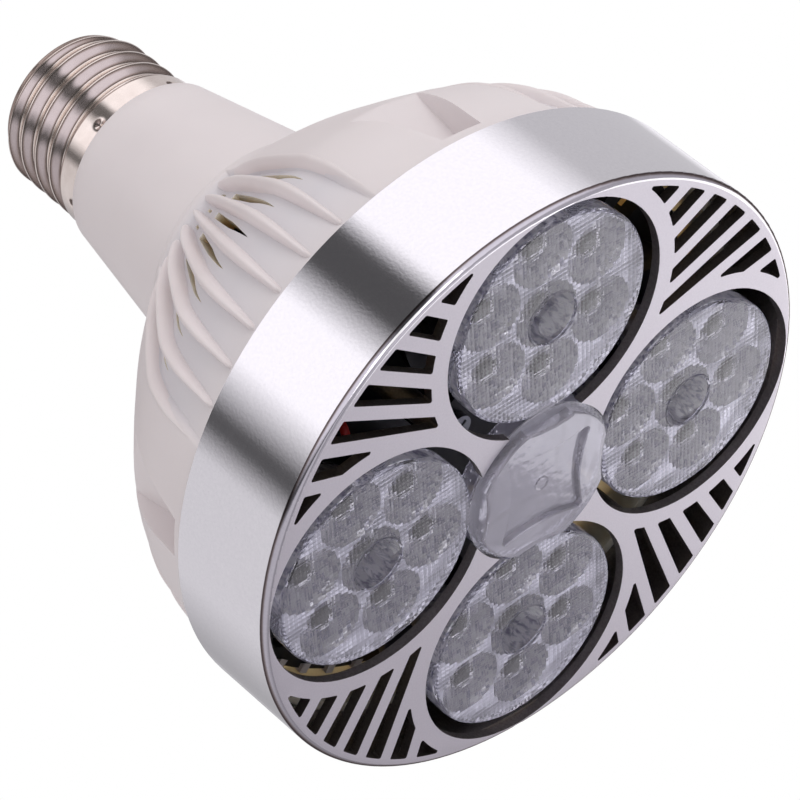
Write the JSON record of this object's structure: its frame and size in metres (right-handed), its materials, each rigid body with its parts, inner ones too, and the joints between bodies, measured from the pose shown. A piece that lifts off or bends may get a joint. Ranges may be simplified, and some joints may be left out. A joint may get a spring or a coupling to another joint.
{
  "type": "led spot bulb",
  "caption": "Ventilated LED spot bulb with a ribbed bell, a turned metal ring, clustered lenses and a screw cap.",
  "frame": {"origin": "centre of the lens hub's flat front, on which the lamp stands face down", "axes": "+Z along the lamp's axis, from the lenses to the cap; +X and +Y through the middles of two neighbouring lens clusters"},
  "size_m": [0.0956, 0.0956, 0.1167],
  "materials": {
    "satin_aluminium": "turned satin ring, bead-blasted face",
    "white_polycarbonate": "fine matte moulded plastic",
    "clear_acrylic": "polished, with faceted light guides",
    "black_solder_mask": "lacquered board",
    "led_phosphor": "silicone over phosphor",
    "screw_steel": "zinc plated",
    "black_anodised_aluminium": "matte black anodised",
    "black_fan_plastic": "glass-filled plastic",
    "sintered_bronze": "oiled sintered metal",
    "copper_winding": "enamelled wire",
    "ferrite": "matte ceramic",
    "nickel_plate": "bright nickel plate",
    "pale_insulator": "smooth moulded",
    "sleeve_plastic": "smooth moulded",
    "circuit_laminate": "green solder mask",
    "yellow_tape": "polyester tape",
    "capacitor_sleeve": "shrink sleeve",
    "black_package": "moulded epoxy",
    "resistor_coat": "lacquered",
    "wire_red_pvc": "smooth insulation",
    "wire_black_pvc": "smooth insulation"
  },
  "bodies": {
    "lamp": {"board_screws": "screw_steel", "bridge_rectifier": "black_package", "cap_contact": "nickel_plate", "cap_insulator": "pale_insulator", "cap_shell": "nickel_plate", "choke": "black_package", "controller_chip": "black_package", "cover_screws": "screw_steel", "driver_board": "circuit_laminate", "driver_sleeve": "sleeve_plastic", "fan_bearing": "sintered_bronze", "fan_frame": "black_fan_plastic", "fan_lead": "wire_black_pvc", "fan_screws": "screw_steel", "fan_stator": "copper_winding", "front_cover": "satin_aluminium", "fuse_resistor": "resistor_coat", "heat_sink": "black_anodised_aluminium", "input_capacitor": "capacitor_sleeve", "led_1_1": "led_phosphor", "led_1_2": "led_phosphor", "led_1_3": "led_phosphor", "led_1_4": "led_phosphor", "led_1_5": "led_phosphor", "led_1_6": "led_phosphor", "led_1_7": "led_phosphor", "led_2_1": "led_phosphor", "led_2_2": "led_phosphor", "led_2_3": "led_phosphor", "led_2_4": "led_phosphor", "led_2_5": "led_phosphor", "led_2_6": "led_phosphor", "led_2_7": "led_phosphor", "led_3_1": "led_phosphor", "led_3_2": "led_phosphor", "led_3_3": "led_phosphor", "led_3_4": "led_phosphor", "led_3_5": "led_phosphor", "led_3_6": "led_phosphor", "led_3_7": "led_phosphor", "led_4_1": "led_phosphor", "led_4_2": "led_phosphor", "led_4_3": "led_phosphor", "led_4_4": "led_phosphor", "led_4_5": "led_phosphor", "led_4_6": "led_phosphor", "led_4_7": "led_phosphor", "led_board": "black_solder_mask", "led_wire_black": "wire_black_pvc", "led_wire_red": "wire_red_pvc", "lens_array": "clear_acrylic", "live_wire": "wire_red_pvc", "neutral_wire": "wire_black_pvc", "output_capacitor": "capacitor_sleeve", "rear_housing": "white_polycarbonate", "transformer_bobbin": "yellow_tape", "transformer_core": "ferrite"},
    "rotor": {"fan_rotor": "black_fan_plastic", "rotor_magnet": "ferrite", "rotor_shaft": "screw_steel"}
  },
  "joints": [
    {"name": "fan_spin", "type": "hinge", "parent": "lamp", "child": "rotor", "pos_m": [0, 0, 0.0412], "axis": [0, 0, 1], "continuous": true}
  ]
}
